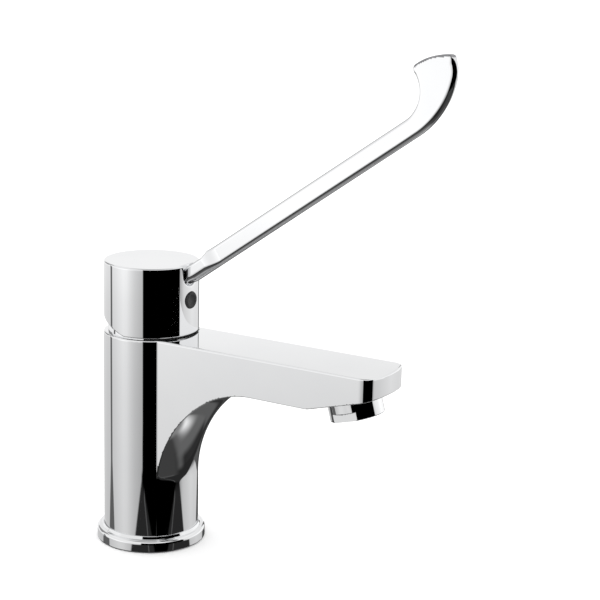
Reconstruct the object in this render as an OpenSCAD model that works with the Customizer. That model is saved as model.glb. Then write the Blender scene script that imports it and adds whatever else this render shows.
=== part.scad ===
// Single-lever basin tap with a long elbow lever, as an assembly of separate pieces.
// Millimetres. The origin is on the column's axis in the plane of the basin deck,
// +Z is up and the spout and the lever point along +X. The lever is shown closed.

/* [Column] */
// Radius of the round column
column_r = 23; // [21:0.5:27]
// Height of the column's top above the deck
column_top = 104.8; // [98:0.2:130]
// Wall of the hollow lower column
column_wall = 3.5; // [3:0.1:4.5]

/* [Base ring] */
// Width of the ring outside the column
ring_w = 3.4; // [2.5:0.1:6]
// Height of the ring above the deck
ring_h = 7.4; // [6:0.1:10]
// Straight part of the ring's side
ring_side_h = 4.4; // [3.5:0.1:5]
// Width of the sloping collar next to the column
ring_collar_w = 1.9; // [1:0.1:2.3]
// Level of the collar's lower edge
ring_collar_z = 6; // [5:0.1:7]
// Height of the ring's floor under the column
ring_floor = 2.6; // [2.4:0.1:4]
// Bevel at the ring's bottom edge
ring_bevel = 0.4; // [0.2:0.1:1.2]
// Gap that the seal keeps between ring and deck
seal_stand = 0.3; // [0.1:0.1:0.6]
// Depth of the seal's groove
seal_groove = 1.3; // [0.8:0.1:1.6]
// Width of the seal
seal_w = 4.3; // [3:0.1:5]

/* [Spout] */
// Width of the spout
spout_w = 34; // [30:0.5:38]
// Height of the spout's side
spout_h = 18.8; // [17.5:0.2:22]
// Reach of the spout from the column's axis
spout_reach = 130.5; // [120:0.5:150]
// Height of the spout's front face
spout_nose_h = 9.6; // [8.5:0.2:11]
// Length of the rising underside at the front
spout_rise_l = 33.5; // [31:0.5:38]
// Radius of the spout's front corners
spout_corner_r = 5.5; // [4:0.5:9]
// Radius of the slightly bowed front face
spout_front_r = 45; // [40:1:70]
// Reach of the arch's hollow curve out from the column
arch_w = 46.3; // [43:0.1:50]
// Height of the arch's hollow curve
arch_h = 52.4; // [46:0.1:54]
// Depth to which the fillet's ends run into the column and the spout
arch_bite = 0.15; // [0.1:0.05:0.4]

/* [Waterways] */
// Width of the spout's water channel
channel_w = 24; // [16:0.5:25]
// Height of the spout's water channel
channel_h = 8; // [5:0.5:8]
// Radius of the two inlet passages
inlet_r = 2.8; // [2:0.1:3]
// Distance of each inlet from the middle
inlet_y = 8; // [7.5:0.1:8.6]
// Height of the inlet manifold
manifold_h = 14; // [13:0.5:18]
// Level of the shoulder above the manifold
manifold_top = 54; // [50:0.5:58]
// Core radius of the hose threads
hose_thread_r = 4.5; // [4:0.1:4.7]
// Depth of the hose threads
hose_thread_l = 11; // [9:0.5:11.5]
// Core radius of the fixing stud's thread
stud_thread_r = 3.4; // [2.5:0.1:4]
// Depth of the fixing stud's thread
stud_thread_l = 10; // [8:0.5:12]
// Distance of the fixing stud behind the axis
stud_x = 12; // [11:0.1:13.5]
// Thickness of the manifold's retaining ring
clip_t = 1.5; // [1:0.1:2]
// Depth of the retaining ring's groove
clip_groove = 1; // [0.6:0.1:1.4]
// Width of the retaining ring
clip_w = 2.4; // [1.8:0.1:3]

/* [Cartridge] */
// Radius of the cartridge
cart_r = 17.4; // [17:0.1:17.8]
// Height of the cartridge housing
housing_h = 24; // [23:0.5:26]
// Thickness of the housing's top plate
housing_top_t = 4; // [3:0.1:4.5]
// Wall of the housing
housing_wall = 3.4; // [3:0.1:3.8]
// Thickness of the distributor plate
cart_base_t = 4.8; // [4.4:0.1:7]
// Thickness of each ceramic disc
disc_t = 4; // [3:0.1:4.2]
// Radius of the moving disc and its carrier
slider_r = 8.6; // [8:0.1:8.8]
// Half width of the carrier across its guide flats
carrier_y = 7; // [6.6:0.1:7.4]
// Height of the disc carrier
carrier_h = 5.5; // [5:0.1:5.8]
// Radius of the turning guide's neck
guide_neck_r = 10.2; // [9.5:0.1:10.6]
// Depth of the clamp nut's thread in the body
nut_depth = 4; // [3:0.1:5]
// Height of the clamp nut above the body
nut_rise = 4; // [3:0.1:4.4]
// Wall between the cartridge bore and the nut's thread
nut_step = 2.3; // [1.8:0.1:2.6]
// Radius of the opening in the clamp nut
nut_bore_r = 12.6; // [12:0.1:13.5]

/* [Spindle] */
// Depth of the tilt pin below the column's top
pivot_drop = 0.8; // [0:0.1:1.6]
// Radius of the tilt pin
pin_r = 1.5; // [1.2:0.1:1.8]
// Length from the tilt pin to the foot's ball
foot_l = 15.2; // [14.9:0.1:15.4]
// Radius of the foot's ball
ball_r = 2.6; // [2.2:0.1:2.8]
// Radius of the stem between pin and ball
stem_r = 2; // [1.6:0.1:2.1]
// Thickness of the spindle's eye
eye_t = 6; // [5:0.1:6.4]
// Side of the spindle's square
square_w = 7; // [6.6:0.1:7.6]
// Height of the spindle's top above the pin
square_top = 23; // [22:0.2:25]

/* [Cap] */
// Radius of the cap
cap_r = 22.8; // [22:0.1:24]
// Height of the cap
cap_h = 33.5; // [31:0.5:37]
// Gap between the cap and the column's top
cap_gap = 0.8; // [0.5:0.1:1.5]
// Wall of the cap's skirt
cap_wall = 1.4; // [1.2:0.1:1.8]
// Thickness of the cap's top
cap_top_t = 4.6; // [3.6:0.1:5]
// Radius of the boss round the spindle
boss_r = 8.5; // [7.5:0.1:9]
// Rounding of the cap's top edge
cap_edge_r = 0.8; // [0.4:0.1:1.4]
// Largest tilt of the lever in degrees
tilt_max = 18; // [12:1:20]
// Spare angle of the wedge behind the cap
wedge_spare = 2; // [1:0.5:3]
// Width of the notch for the lever
notch_w = 10.6; // [9.6:0.1:12]
// Level of the notch's bottom below the cap's top
notch_d = 10; // [9.5:0.1:10.5]
// Level of the set screw below the cap's top
screw_drop = 16.8; // [16:0.1:17.5]
// Core radius of the set screw
screw_r = 2.5; // [2:0.1:2.6]
// Length of the set screw
screw_l = 8; // [6:0.5:9]
// Radius of the cover plug
plug_r = 4.1; // [3.5:0.1:4.5]
// How far the plug stands out of the cap
plug_rise = 0.7; // [0.4:0.1:1.2]

/* [Lever] */
// Slope of the lever in degrees
lever_deg = 34.8; // [32:0.2:38]
// Level of the lever's lower edge at the axis, below the cap's top
lever_drop = 25; // [24.6:0.1:25.4]
// Width and height of the lever's root
root_w = 7.4; // [6.8:0.1:8]
// Distance along the lever to the end of its root
root_s = 42; // [38:0.5:48]
// Distance along the lever to the inner end of its tang
tang_s = 16; // [15.6:0.1:17]
// Distance along the lever to the tang's step
step_s = 20.5; // [20:0.1:21.5]
// Thickness of the lever's blade
blade_t = 4.6; // [3.5:0.1:5.5]
// How far the blade's lower edge lies below the root's
blade_drop = 0.5; // [0:0.1:1]
// Height of the blade next to the root
blade_h0 = 8.8; // [7.8:0.1:9.5]
// Height of the blade before the hook
blade_h1 = 8.5; // [6.5:0.1:9.5]
// Distance along the lever to the start of the hook
hook_s = 169.2; // [140:0.2:190]
// Radius of the hook's outer bend
hook_outer_r = 40.5; // [36:0.5:46]
// Turn of the outer edge up to the tip in degrees
hook_outer_deg = 45; // [41:1:49]
// Radius of the hook's inner bend
hook_inner_r = 14.5; // [13:0.5:16]
// Turn of the inner edge up to the tip in degrees
hook_inner_deg = 90; // [85:1:97]
// Distance from the start of the inner bend to the start of the outer bend
hook_lag = 1.6; // [0:0.1:4]
// Radius of the tip's outer round
tip_r = 10.5; // [8:0.5:12]
// Turn of the outer edge at the end of the tip's round in degrees
tip_deg = 103; // [92:1:106]
// Radius of the bowed end edge of the tip
end_r = 27; // [20:1:60]
// Radius of the tip's inner corner
corner_r = 2.8; // [1:0.1:3.5]
// Radius of the lever's cross pin
lever_pin_r = 1; // [0.8:0.05:1.2]

/* [Aerator] */
// Radius of the aerator
aerator_r = 12.5; // [11.5:0.1:12.9]
// Length of the aerator below the spout
aerator_l = 8.6; // [7:0.1:9.4]
// Radius of the aerator's thread
aerator_thread_r = 10.4; // [9.6:0.1:10.6]
// Depth of the aerator's socket
socket_l = 7; // [6.5:0.1:7.6]
// Distance of the aerator's middle behind the spout's front
aerator_back = 18.7; // [18.2:0.1:20]
// Width across the aerator's spanner flats
flats_w = 22; // [20.5:0.1:23]
// Height of the spanner flats
flats_h = 3.9; // [2.5:0.1:4.5]
// Wall of the aerator's housing
aerator_wall = 1.6; // [1.2:0.1:2]

/* [Hidden] */
$fn = 96;
// Fits: a seated piece, a running pin, a sliding face, and the overshoot of a cut
seat = 0.05;
running = 0.05;
slide_gap = 0.3;
face_gap = 0.05;
ball_gap = 0.4;
dome_gap = 0.4;
over = 1;
// Small walls: over the tilt pin, between port and seal, of the outlet trough and of the nut's hexagon
pin_wall = 2;
port_wall = 0.9;
trough_d = 1.6;
trough_w = 4.4;
hex_step = 3;
// Depth of the water gallery, and how far it keeps from the housing's ends
gallery_w = 1.8;
gallery_end = 1.5;
// Cap: level of the boss and of the square above the pin, and the web round the lever's root
boss_rise = 9;
square_rise = 5.5;
web_wall = 2.7;
web_drop = 5;
plug_seat = 1.2;
notch_seat = 1.6;
// Aerator: lip, gasket and screen
lip_w = 1.2;
gasket_t = 1.4;
screen_t = 0.9;
screen_hole_r = 0.75;
screen_pitch = 2.2;
straightener_t = 1.2;

// Levels from the column's top down to the cartridge's seat
nut_z = column_top - nut_depth;
housing_z = nut_z - housing_h;
cart_seat = housing_z - cart_base_t;
housing_top_z = nut_z - housing_top_t;
pivot_z = column_top - pivot_drop;
fixed_disc_top = housing_z + disc_t;
moving_disc_z = fixed_disc_top + face_gap;
carrier_z = moving_disc_z + disc_t;
carrier_top = carrier_z + carrier_h;
guide_z = carrier_top + slide_gap;
guide_flange_top = housing_top_z - slide_gap;
guide_neck_top = pivot_z + pin_r + pin_wall;
ball_z = pivot_z - foot_l;

// Radii of the bores in the body
cart_bore_r = cart_r + slide_gap;
nut_r = cart_bore_r + nut_step;
hex_r = nut_r - hex_step;
cavity_r = column_r - column_wall;
manifold_r = cavity_r - seat;
manifold_z = manifold_top - manifold_h;
clip_z = manifold_z - seat - clip_t;

// O-rings: radius of the cord, of the small rings' middle and of their grooves
cord_r = 0.75;
port_ring_r = inlet_r + port_wall + cord_r;
groove_w = 2 * (cord_r + seat);
housing_seal_z = nut_z - 2 * cord_r - seat;

// Annular water space round the cartridge
gallery_r = cart_bore_r + gallery_w;
gallery_z0 = housing_z + gallery_end;
gallery_z1 = housing_top_z - gallery_end;
// Channel in the spout: it starts inside the bore and stays below the housing's corner seal
channel_x = sqrt(cart_bore_r * cart_bore_r - channel_w * channel_w / 4);
channel_top = housing_seal_z - seat;

// Spout outline
spout_bottom = column_top - spout_h;
nose_bottom = column_top - spout_nose_h;
kink_x = spout_reach - spout_rise_l;
rise_deg = atan((nose_bottom - spout_bottom) / spout_rise_l);
arch_c = [column_r + arch_w - arch_bite, spout_bottom - arch_h + arch_bite];

// Aerator's place on the rising underside
aerator_x = spout_reach - aerator_back;
aerator_z = spout_bottom + (aerator_x - kink_x) * tan(rise_deg);
aerator_bore_r = aerator_thread_r - aerator_wall;
screen_z = -aerator_l + lip_w;

// Cap
cap_z = column_top + cap_gap;
cap_top = cap_z + cap_h;
cap_bore_r = cap_r - cap_wall;
cap_ceiling = cap_top - cap_top_t;
dome_r = cap_bore_r - dome_gap;
boss_z = pivot_z + boss_rise;
square_z = pivot_z + square_rise;
screw_z = cap_top - screw_drop;
screw_x = square_w / 2;
web_w = root_w + 2 * web_wall;
web_z = screw_z - web_drop;
access_r = screw_r + slide_gap;
plug_seat_x = cap_bore_r - plug_seat;
notch_x = cap_bore_r - notch_seat;

// Lever, in its own frame: X along the lower edge and Z square to it
lever_z0 = cap_top - lever_drop;
tang_h = root_w / 2;
lever_pin_s = (tang_s + step_s) / 2;
lever_pin_h = tang_h * 1.5;

// Points of an arc round a centre, from one direction to another
function arc(c, r, a0, a1, n = 24) =
    [for (i = [0:n]) let(a = a0 + (a1 - a0) * i / n) [c[0] + r * cos(a), c[1] + r * sin(a)]];
// Point on an edge that has turned by an angle round a centre
function turned(c, r, a) = [c[0] + r * sin(a), c[1] - r * cos(a)];

// Centres of the hook's bends: each arc runs on from the one before it
hook_outer_c = [hook_s, hook_outer_r - blade_drop];
tip_start = turned(hook_outer_c, hook_outer_r, hook_outer_deg);
tip_c = tip_start - turned([0, 0], tip_r, hook_outer_deg);
tip_end = turned(tip_c, tip_r, tip_deg);
hook_inner_c = [hook_s - hook_lag, blade_h1 + hook_inner_r];
corner_c = turned(hook_inner_c, hook_inner_r + corner_r, hook_inner_deg);
corner_end = corner_c + [0, corner_r];
// Centre of the bowed end edge, which joins the tip's round and the inner corner
end_mid = (tip_end + corner_end) / 2;
end_chord = tip_end - corner_end;
end_sink = sqrt(end_r * end_r - norm(end_chord) * norm(end_chord) / 4) / norm(end_chord);
end_c = end_mid + end_sink * [end_chord[1], -end_chord[0]];

// Turns a profile drawn in the X and Z plane into a plate of the given thickness about Y = 0
module plate(t) {
    translate([0, t / 2, 0]) rotate([90, 0, 0]) linear_extrude(t) children();
}

// Ring of rectangular section
module ring(r_in, r_out, z0, z1) {
    rotate_extrude() translate([r_in, z0]) square([r_out - r_in, z1 - z0]);
}

// Groove of a port's O-ring
module port_groove(z0, z1) {
    ring(port_ring_r - groove_w / 2, port_ring_r + groove_w / 2, z0, z1);
}

// Round bar along Y, centred on the X and Z plane
module cross_bar(r, l) {
    translate([0, l / 2, 0]) rotate([90, 0, 0]) cylinder(r = r, h = l);
}

// O-ring lying flat, with the cord's lowest point at z0
module o_ring(r, z0) {
    rotate_extrude() translate([r, z0 + cord_r]) circle(cord_r, $fn = 32);
}

// Places children at both inlets
module at_inlets() {
    for (s = [-1, 1]) translate([0, s * inlet_y, 0]) children();
}

// Frame of the aerator: its local Z axis points into the spout
module at_outlet() {
    translate([aerator_x, 0, aerator_z]) rotate([0, -rise_deg, 0]) children();
}

// Frame of the lever: its local X axis runs along the lever's lower edge
module at_lever() {
    translate([0, 0, lever_z0]) rotate([0, -lever_deg, 0]) children();
}

// Side view of the spout
module spout_profile() {
    polygon([
        [0, column_top], [spout_reach, column_top], [spout_reach, nose_bottom],
        [kink_x, spout_bottom], [0, spout_bottom]
    ]);
}

// Big fillet, hollowed by a ring, between the column's side and the spout's flat underside
module arch() {
    difference() {
        translate([0, 0, arch_c[1]]) cylinder(r = arch_c[0], h = arch_h + over);
        rotate_extrude() translate(arch_c) scale([arch_w / arch_h, 1]) circle(arch_h);
    }
}

// Plan view of the spout with its bowed front and round corners
module spout_plan() {
    front_c = [spout_reach - spout_front_r, 0];
    corner_y = spout_w / 2 - spout_corner_r;
    corner_deg = asin(corner_y / (spout_front_r - spout_corner_r));
    corner_x = front_c[0] + (spout_front_r - spout_corner_r) * cos(corner_deg);
    polygon(concat(
        [[0, -spout_w / 2]],
        arc([corner_x, -corner_y], spout_corner_r, -90, -corner_deg, 10),
        arc(front_c, spout_front_r, -corner_deg, corner_deg, 14),
        arc([corner_x, corner_y], spout_corner_r, corner_deg, 90, 10),
        [[0, spout_w / 2]]
    ));
}

module tap_body() {
    color("gainsboro") difference() {
        union() {
            translate([0, 0, ring_floor]) cylinder(r = column_r, h = column_top - ring_floor);
            intersection() {
                plate(2 * spout_w) spout_profile();
                linear_extrude(2 * column_top) spout_plan();
            }
            intersection() {
                arch();
                linear_extrude(2 * column_top) spout_plan();
            }
        }
        // Hollow lower column with the groove of the retaining ring
        cylinder(r = cavity_r, h = manifold_top);
        translate([0, 0, clip_z - seat]) cylinder(r = cavity_r + clip_groove, h = clip_t + 2 * seat);
        // Inlet passages, cartridge bore, water gallery and nut thread
        at_inlets() translate([0, 0, manifold_top - over])
            cylinder(r = inlet_r, h = cart_seat - manifold_top + 2 * over);
        translate([0, 0, cart_seat]) cylinder(r = cart_bore_r, h = column_top);
        translate([0, 0, gallery_z0]) cylinder(r = gallery_r, h = gallery_z1 - gallery_z0);
        translate([0, 0, nut_z]) cylinder(r = nut_r + seat, h = column_top);
        // Channel to the aerator's socket
        translate([channel_x, -channel_w / 2, channel_top - channel_h])
            cube([aerator_x - channel_x, channel_w, channel_h]);
        at_outlet() translate([0, 0, -over]) cylinder(r = aerator_thread_r + seat, h = socket_l + over);
    }
}

module base_ring() {
    r0 = column_r + seat;
    r1 = column_r + ring_w;
    bead = ring_w - ring_collar_w;
    bead_h = ring_collar_z - ring_side_h;
    color("gainsboro") difference() {
        rotate_extrude() polygon(concat(
            [[cavity_r, seal_stand], [r1 - ring_bevel, seal_stand], [r1, seal_stand + ring_bevel]],
            [for (a = [0:10:90]) [r1 - bead * (1 - cos(a)), ring_side_h + bead_h * sin(a)]],
            [[r0, ring_h], [r0, ring_floor], [cavity_r, ring_floor]]
        ));
        translate([0, 0, seal_stand - over]) seal_ring(seat, seal_groove + over);
    }
}

// Flat ring under the column's wall: the seal, or with a gap the groove that it lies in
module seal_ring(gap, h) {
    ring(column_r - seal_w / 2 - gap, column_r + seal_w / 2 + gap, 0, h);
}

module base_seal() {
    color("dimgray") seal_ring(0, seal_stand + seal_groove);
}

module inlet_manifold() {
    color("goldenrod") difference() {
        translate([0, 0, manifold_z]) cylinder(r = manifold_r, h = manifold_h);
        at_inlets() {
            translate([0, 0, manifold_z]) cylinder(r = inlet_r, h = manifold_h + over);
            translate([0, 0, manifold_z - over]) cylinder(r = hose_thread_r, h = hose_thread_l + over);
            port_groove(manifold_top - groove_w, manifold_top + over);
        }
        translate([-stud_x, 0, manifold_z - over]) cylinder(r = stud_thread_r, h = stud_thread_l + over);
    }
}

module manifold_seals() {
    color("black") at_inlets() o_ring(port_ring_r, manifold_top - 2 * cord_r);
}

// Split ring that springs into the groove below the manifold
module manifold_clip() {
    r_out = cavity_r + clip_groove - slide_gap / 2;
    color("silver") difference() {
        ring(r_out - clip_w, r_out, clip_z, clip_z + clip_t);
        translate([0, -clip_w * 2, clip_z - over]) cube([column_r, clip_w * 4, clip_t + 2 * over]);
    }
}

module cartridge_base() {
    color("whitesmoke") difference() {
        translate([0, 0, cart_seat]) cylinder(r = cart_r, h = cart_base_t);
        at_inlets() {
            translate([0, 0, cart_seat - over]) cylinder(r = inlet_r, h = cart_base_t + 2 * over);
            port_groove(cart_seat - over, cart_seat + groove_w);
            port_groove(housing_z - groove_w, housing_z + over);
        }
        // Outlet trough from the middle to both sides
        translate([-column_r, -trough_w / 2, housing_z - trough_d])
            cube([2 * column_r, trough_w, trough_d + over]);
    }
}

module port_seals() {
    color("black") at_inlets() o_ring(port_ring_r, cart_seat);
}

module disc_gasket() {
    color("black") at_inlets() o_ring(port_ring_r, housing_z - 2 * cord_r);
}

module fixed_disc() {
    color("ivory") difference() {
        translate([0, 0, housing_z]) cylinder(r = cart_r - housing_wall - slide_gap, h = disc_t);
        at_inlets() translate([0, 0, housing_z - over]) cylinder(r = inlet_r, h = disc_t + 2 * over);
        translate([0, 0, housing_z - over]) cylinder(r = inlet_r, h = disc_t + 2 * over);
    }
}

module cartridge_housing() {
    window_r = 2;
    color("whitesmoke") difference() {
        translate([0, 0, housing_z]) cylinder(r = cart_r, h = housing_h);
        translate([0, 0, housing_z - over])
            cylinder(r = cart_r - housing_wall, h = housing_top_z - housing_z + over);
        translate([0, 0, housing_z]) cylinder(r = guide_neck_r + slide_gap, h = housing_h + over);
        // Outlet windows and the groove of the housing's seal
        for (a = [45:90:315])
            rotate([0, 0, a]) translate([0, 0, fixed_disc_top + window_r]) rotate([0, 90, 0])
                cylinder(r = window_r, h = column_r);
        ring(cart_r - groove_w + slide_gap, cart_r + over, housing_seal_z - seat, nut_z + over);
    }
}

// Corner seal between the housing, the bore and the nut
module housing_seal() {
    color("black") o_ring(cart_bore_r - cord_r - seat, housing_seal_z);
}

module clamp_nut() {
    color("goldenrod") difference() {
        union() {
            translate([0, 0, nut_z]) cylinder(r = nut_r, h = nut_depth);
            translate([0, 0, column_top]) cylinder(r = hex_r, h = nut_rise, $fn = 6);
        }
        translate([0, 0, nut_z - over]) cylinder(r = nut_bore_r, h = nut_depth + nut_rise + 2 * over);
    }
}

// Domed collar: a zone of a ball about the tilt pin, so that the cap swings round it
module cover_ring() {
    color("gainsboro") intersection() {
        ring(hex_r + slide_gap, column_r, column_top, column_top + nut_rise + slide_gap);
        translate([0, 0, pivot_z]) sphere(r = dome_r);
    }
}

module aerator_housing() {
    color("gainsboro") at_outlet() difference() {
        union() {
            translate([0, 0, -aerator_l]) cylinder(r = aerator_r, h = aerator_l);
            cylinder(r = aerator_thread_r, h = socket_l - gasket_t);
        }
        translate([0, 0, screen_z]) cylinder(r = aerator_bore_r, h = aerator_l + socket_l);
        translate([0, 0, -aerator_l - over]) cylinder(r = aerator_bore_r - lip_w, h = aerator_l);
        for (s = [0, 1]) mirror([0, s, 0]) translate([-aerator_r, flats_w / 2, -aerator_l - over])
            cube([2 * aerator_r, aerator_r, flats_h + over]);
    }
}

module aerator_gasket() {
    color("black") at_outlet()
        ring(aerator_bore_r - lip_w, aerator_thread_r - seat, socket_l - gasket_t, socket_l);
}

// Flow straightener: a ring with a cross of webs
module aerator_insert() {
    r = aerator_bore_r - seat;
    z0 = screen_z + screen_t;
    h = socket_l - gasket_t - z0;
    color("whitesmoke") at_outlet() {
        ring(r - straightener_t, r, z0, z0 + h);
        for (a = [0, 60, 120]) rotate([0, 0, a])
            translate([-r + straightener_t / 2, -straightener_t / 2, z0])
                cube([2 * r - straightener_t, straightener_t, h]);
    }
}

// Outlet screen with rings of round holes
module aerator_screen() {
    color("lightgray") at_outlet() difference() {
        translate([0, 0, screen_z]) cylinder(r = aerator_bore_r - seat, h = screen_t);
        for (k = [1:3]) for (i = [0:6 * k - 1])
            rotate([0, 0, i * 60 / k]) translate([k * screen_pitch, 0, screen_z - over])
                cylinder(r = screen_hole_r, h = screen_t + 2 * over, $fn = 16);
    }
}

// Turning guide: flange with two cheeks round the carrier, and a slotted neck for the spindle
module spindle_guide() {
    flange_r = cart_r - housing_wall - slide_gap;
    slot_x = 7.5;
    slot_y = eye_t / 2 + slide_gap;
    cheek_z = carrier_z + slide_gap;
    color("gray") difference() {
        union() {
            translate([0, 0, cheek_z]) cylinder(r = flange_r, h = guide_flange_top - cheek_z);
            translate([0, 0, guide_z]) cylinder(r = guide_neck_r, h = guide_neck_top - guide_z);
        }
        translate([-column_r, -carrier_y - slide_gap, cheek_z - over])
            cube([2 * column_r, 2 * (carrier_y + slide_gap), guide_z - cheek_z + over]);
        translate([-slot_x, -slot_y, guide_z - over]) cube([2 * slot_x, 2 * slot_y, guide_neck_top]);
        translate([0, 0, pivot_z]) cross_bar(pin_r, 2 * column_r);
    }
}

module pivot_pin() {
    color("silver") translate([0, 0, pivot_z]) cross_bar(pin_r, 2 * (guide_neck_r - over));
}

// Spindle: square above, flat eye at the pin, stem and ball below
module spindle() {
    color("silver") difference() {
        union() {
            translate([-square_w / 2, -square_w / 2, square_z])
                cube([square_w, square_w, pivot_z + square_top - square_z]);
            translate([-square_w / 2, -eye_t / 2, pivot_z]) cube([square_w, eye_t, square_z - pivot_z]);
            plate(eye_t) translate([0, pivot_z]) circle(square_w / 2);
            translate([0, 0, ball_z]) cylinder(r = stem_r, h = foot_l);
            translate([0, 0, ball_z]) sphere(r = ball_r);
        }
        translate([0, 0, pivot_z]) cross_bar(pin_r + running, 2 * column_r);
    }
}

// Root of the lever with a round underside, and the tang that is its upper half
module root_bar(gap) {
    at_lever() {
        translate([step_s - gap, 0, tang_h]) rotate([0, 90, 0])
            cylinder(r = tang_h + gap, h = root_s - step_s);
        translate([tang_s - gap, -tang_h - gap, tang_h - gap])
            cube([root_s - tang_s, root_w + 2 * gap, root_w - tang_h + 2 * gap]);
    }
}

// Cross pin through the web and the tang
module cross_pin() {
    at_lever() translate([lever_pin_s, 0, lever_pin_h]) cross_bar(lever_pin_r, web_w);
}

module cap_shell() {
    wedge_l = 3 * cap_r;
    socket_w = square_w + 2 * seat;
    color("gainsboro") difference() {
        union() {
            difference() {
                rotate_extrude() polygon(concat(
                    [[0, cap_z], [cap_r, cap_z]],
                    arc([cap_r - cap_edge_r, cap_top - cap_edge_r], cap_edge_r, 0, 90, 6),
                    [[0, cap_top]]
                ));
                translate([0, 0, cap_z - over]) cylinder(r = cap_bore_r, h = cap_ceiling - cap_z + over);
            }
            translate([0, 0, boss_z]) cylinder(r = boss_r, h = cap_ceiling - boss_z + over);
            translate([0, -web_w / 2, web_z]) cube([cap_bore_r, web_w, cap_ceiling - web_z + over]);
        }
        // Wedge at the back that leaves room for the tilt
        translate([0, 0, cap_z]) rotate([0, tilt_max + wedge_spare, 0])
            translate([-wedge_l, -wedge_l / 2, -wedge_l]) cube([wedge_l, wedge_l, wedge_l]);
        // Square socket, set screw and plug
        translate([-socket_w / 2, -socket_w / 2, boss_z - over])
            cube([socket_w, socket_w, pivot_z + square_top - boss_z + over + slide_gap]);
        translate([0, 0, screw_z]) rotate([0, 90, 0]) cylinder(r = screw_r, h = screw_x + screw_l + over);
        translate([screw_x + screw_l, 0, screw_z]) rotate([0, 90, 0]) cylinder(r = access_r, h = cap_r);
        translate([plug_seat_x, 0, screw_z]) rotate([0, 90, 0]) cylinder(r = plug_r, h = cap_r);
        // Notch in the skirt, pocket for the lever's root and hole of its cross pin
        translate([notch_x, 0, cap_top - notch_d + notch_w / 2]) {
            rotate([0, 90, 0]) cylinder(r = notch_w / 2, h = cap_r);
            translate([0, -notch_w / 2, 0]) cube([cap_r, notch_w, notch_d]);
        }
        root_bar(seat);
        cross_pin();
    }
}

// Side view of the blade and its hook
module blade_profile() {
    polygon(concat(
        [[root_s - tang_h, root_w / 4], [root_s, -blade_drop]],
        arc(hook_outer_c, hook_outer_r, -90, hook_outer_deg - 90),
        arc(tip_c, tip_r, hook_outer_deg - 90, tip_deg - 90, 10),
        arc(end_c, end_r, atan2(tip_end[1] - end_c[1], tip_end[0] - end_c[0]),
            atan2(corner_end[1] - end_c[1], corner_end[0] - end_c[0]), 8),
        arc(corner_c, corner_r, 90, hook_inner_deg + 90, 6),
        arc(hook_inner_c, hook_inner_r, hook_inner_deg - 90, -90),
        [[root_s + tang_h, blade_h0], [root_s - tang_h, root_w * 3 / 4]]
    ));
}

module lever_arm() {
    color("gainsboro") difference() {
        union() {
            root_bar(0);
            at_lever() plate(blade_t) blade_profile();
        }
        cross_pin();
    }
}

module lever_pin() {
    color("silver") cross_pin();
}

// Grub screw with a hexagon socket
module set_screw() {
    color("silver") translate([screw_x, 0, screw_z]) rotate([0, 90, 0]) difference() {
        cylinder(r = screw_r, h = screw_l);
        translate([0, 0, screw_l / 2]) cylinder(r = screw_r / 2, h = screw_l, $fn = 6);
    }
}

module cover_plug() {
    color("dimgray") translate([plug_seat_x, 0, screw_z]) rotate([0, 90, 0])
        cylinder(r = plug_r - seat, h = cap_r + plug_rise - plug_seat_x);
}

// Carrier that the spindle's ball pushes along the guide's flats
module disc_carrier() {
    color("gray") difference() {
        intersection() {
            translate([0, 0, carrier_z]) cylinder(r = slider_r, h = carrier_h);
            translate([-slider_r, -carrier_y, carrier_z]) cube([2 * slider_r, 2 * carrier_y, carrier_h]);
        }
        translate([0, 0, ball_z - ball_r - slide_gap]) cylinder(r = ball_r + ball_gap, h = carrier_h);
    }
}

// Upper ceramic disc with a mixing pocket in its underside
module moving_disc() {
    pocket_r = slider_r * 0.55;
    color("ivory") difference() {
        translate([0, 0, moving_disc_z]) cylinder(r = slider_r, h = disc_t);
        translate([0, 0, moving_disc_z - over]) cylinder(r = pocket_r, h = disc_t / 2 + over);
    }
}

tap_body();
base_ring();
base_seal();
inlet_manifold();
manifold_seals();
manifold_clip();
cartridge_base();
port_seals();
disc_gasket();
fixed_disc();
cartridge_housing();
housing_seal();
clamp_nut();
cover_ring();
aerator_housing();
aerator_gasket();
aerator_insert();
aerator_screen();
spindle_guide();
pivot_pin();
spindle();
cap_shell();
lever_arm();
lever_pin();
set_screw();
cover_plug();
disc_carrier();
moving_disc();
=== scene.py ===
"""Dresses the elbow lever tap: its chromed outer pieces, the finishes of its inner works and the studio.

The pieces' sizes are in millimetres and degrees, in the tap's own frame.
"""

import logging
import math
from dataclasses import dataclass
from enum import Enum
from typing import Callable

import bmesh
import bpy
import numpy as np
from mathutils import Matrix, Vector


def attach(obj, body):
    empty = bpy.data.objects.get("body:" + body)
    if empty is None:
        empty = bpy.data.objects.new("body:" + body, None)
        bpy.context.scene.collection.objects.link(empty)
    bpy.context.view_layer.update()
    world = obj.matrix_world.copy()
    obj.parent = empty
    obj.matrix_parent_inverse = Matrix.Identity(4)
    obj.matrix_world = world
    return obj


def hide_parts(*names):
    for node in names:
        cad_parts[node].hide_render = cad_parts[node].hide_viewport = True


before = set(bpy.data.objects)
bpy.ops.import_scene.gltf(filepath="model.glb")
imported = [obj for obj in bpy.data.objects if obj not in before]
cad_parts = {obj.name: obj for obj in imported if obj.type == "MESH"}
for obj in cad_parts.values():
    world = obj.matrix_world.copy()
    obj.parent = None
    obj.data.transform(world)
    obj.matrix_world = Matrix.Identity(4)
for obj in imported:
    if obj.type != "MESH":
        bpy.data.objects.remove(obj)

LOG = logging.getLogger("elbow_lever_tap")
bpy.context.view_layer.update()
MM = 0.001
# How far a cutter runs on past the solid that it cuts.
SPARE = 5.0
# How near to a surface the middle of a face on it lies.
SKIN = 0.12

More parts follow.
